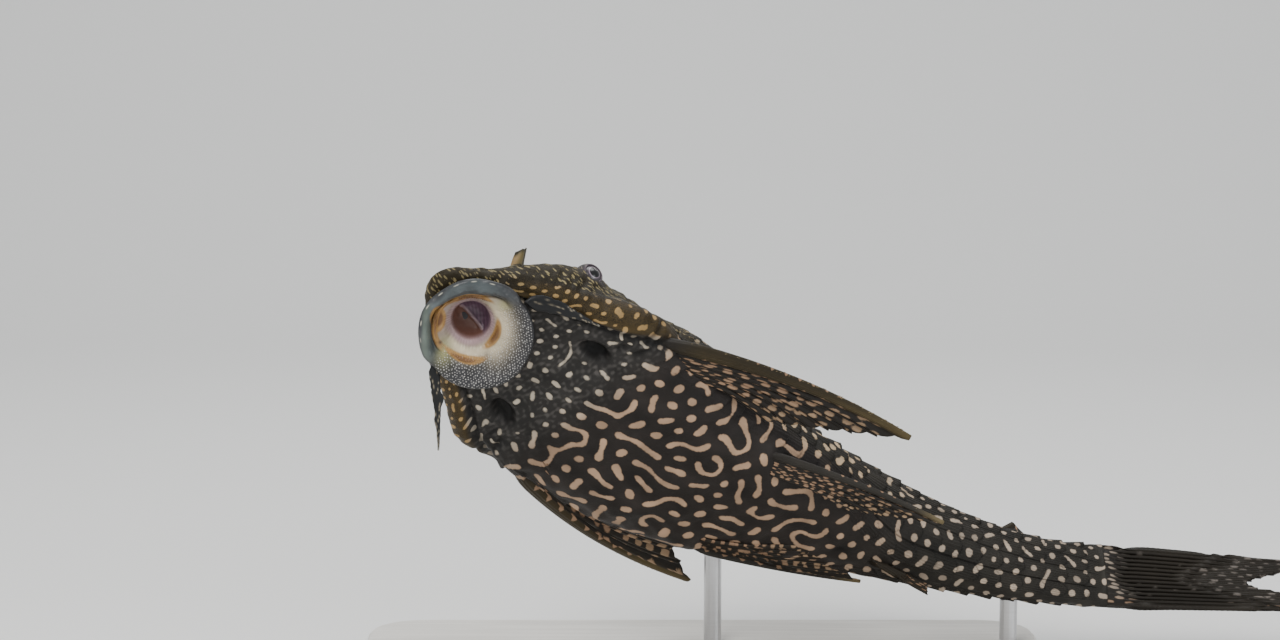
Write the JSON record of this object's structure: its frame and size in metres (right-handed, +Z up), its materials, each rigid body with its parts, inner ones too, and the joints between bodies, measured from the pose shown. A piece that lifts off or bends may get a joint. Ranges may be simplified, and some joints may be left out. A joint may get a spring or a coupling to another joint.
{
  "type": "vermiculated sailfin pleco display model",
  "caption": "Life-size armoured catfish holding on by its open mouth disc, belly forward, on a flat base with two short rods.",
  "frame": {"origin": "centre of the underside of the stand's base, on the floor", "axes": "+Z up, +X towards the fish's tail, -Y towards the pane that its mouth would hold to"},
  "size_m": [0.4151, 0.151, 0.1794],
  "materials": {
    "head_skin": "moist olive-brown skin with golden spots",
    "body_skin": "moist near-black plated skin with pinkish-tan worm lines",
    "lips": "moist bluish-grey lips, cream and pinkish within",
    "barbels": "moist dark blue-grey skin",
    "eyes": "glossy dark eye with a purplish-grey iris",
    "fins": "dark olive-brown fin skin with pale spots",
    "base": "pale satin lacquer",
    "rods": "satin"
  },
  "bodies": {
    "root": {"head": "head_skin", "trunk": "body_skin", "tail": "body_skin", "mouth_disc": "lips", "barbel_left": "barbels", "barbel_right": "barbels", "nostril_flap_left": "head_skin", "nostril_flap_right": "head_skin", "eye_left": "eyes", "eye_right": "eyes", "pectoral_fin_left": "fins", "pectoral_fin_right": "fins", "pelvic_fin_left": "fins", "pelvic_fin_right": "fins", "dorsal_fin": "fins", "adipose_fin": "fins", "anal_fin": "fins", "caudal_fin": "fins", "stand_base": "base", "stand_rod_front": "rods", "stand_rod_rear": "rods"}
  },
  "joints": []
}
